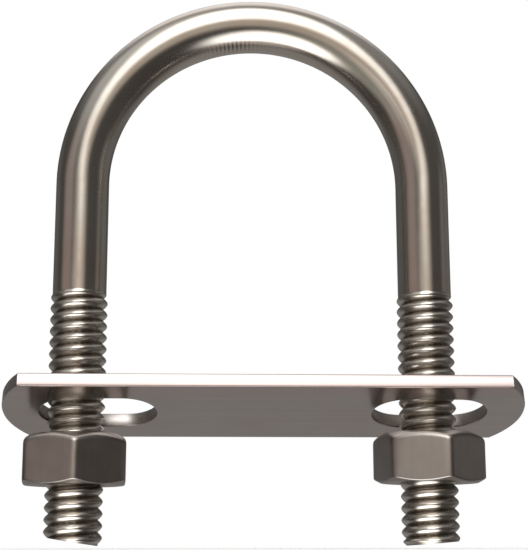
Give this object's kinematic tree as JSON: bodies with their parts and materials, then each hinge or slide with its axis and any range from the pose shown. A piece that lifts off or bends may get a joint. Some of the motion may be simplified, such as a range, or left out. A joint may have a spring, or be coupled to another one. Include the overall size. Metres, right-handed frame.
{
  "type": "u-bolt pad eye",
  "caption": "U-shaped round rod with two threaded legs, a slotted backing plate across the legs and a hexagon nut under it on each leg.",
  "frame": {"origin": "midway between the two leg axes, level with the lower ends of the legs", "axes": "+Z along the legs towards the bend, X from the left leg to the right leg, +Y towards the lower edge of the tilted plate"},
  "size_m": [0.0568, 0.0138, 0.062],
  "materials": {
    "polished_stainless": "polished",
    "plate_stainless": "half-polished, with fine rolling grain",
    "nut_stainless": "satin"
  },
  "bodies": {
    "bolt": {"u_bolt": "polished_stainless"},
    "plate": {"backing_plate": "plate_stainless"},
    "left_nut": {"nut_left": "nut_stainless"},
    "right_nut": {"nut_right": "nut_stainless"}
  },
  "joints": [
    {"name": "plate_travel", "type": "slide", "parent": "bolt", "child": "plate", "axis": [0, 0, 1], "range_m": [-0.0057, 0.0139]},
    {"name": "left_nut_turn", "type": "hinge", "parent": "plate", "child": "left_nut", "pos_m": [-0.0192, 0, 0.00905], "axis": [0, 0, 1], "range_deg": [-1616, 3941]},
    {"name": "right_nut_turn", "type": "hinge", "parent": "plate", "child": "right_nut", "pos_m": [0.0192, 0, 0.00935], "axis": [0, 0, 1], "range_deg": [-1616, 3941]}
  ],
  "couplings": [
    {"joint": "left_nut_turn", "follows": "plate_travel", "rad_per_m": 4947.4},
    {"joint": "right_nut_turn", "follows": "plate_travel", "rad_per_m": 4947.4}
  ]
}
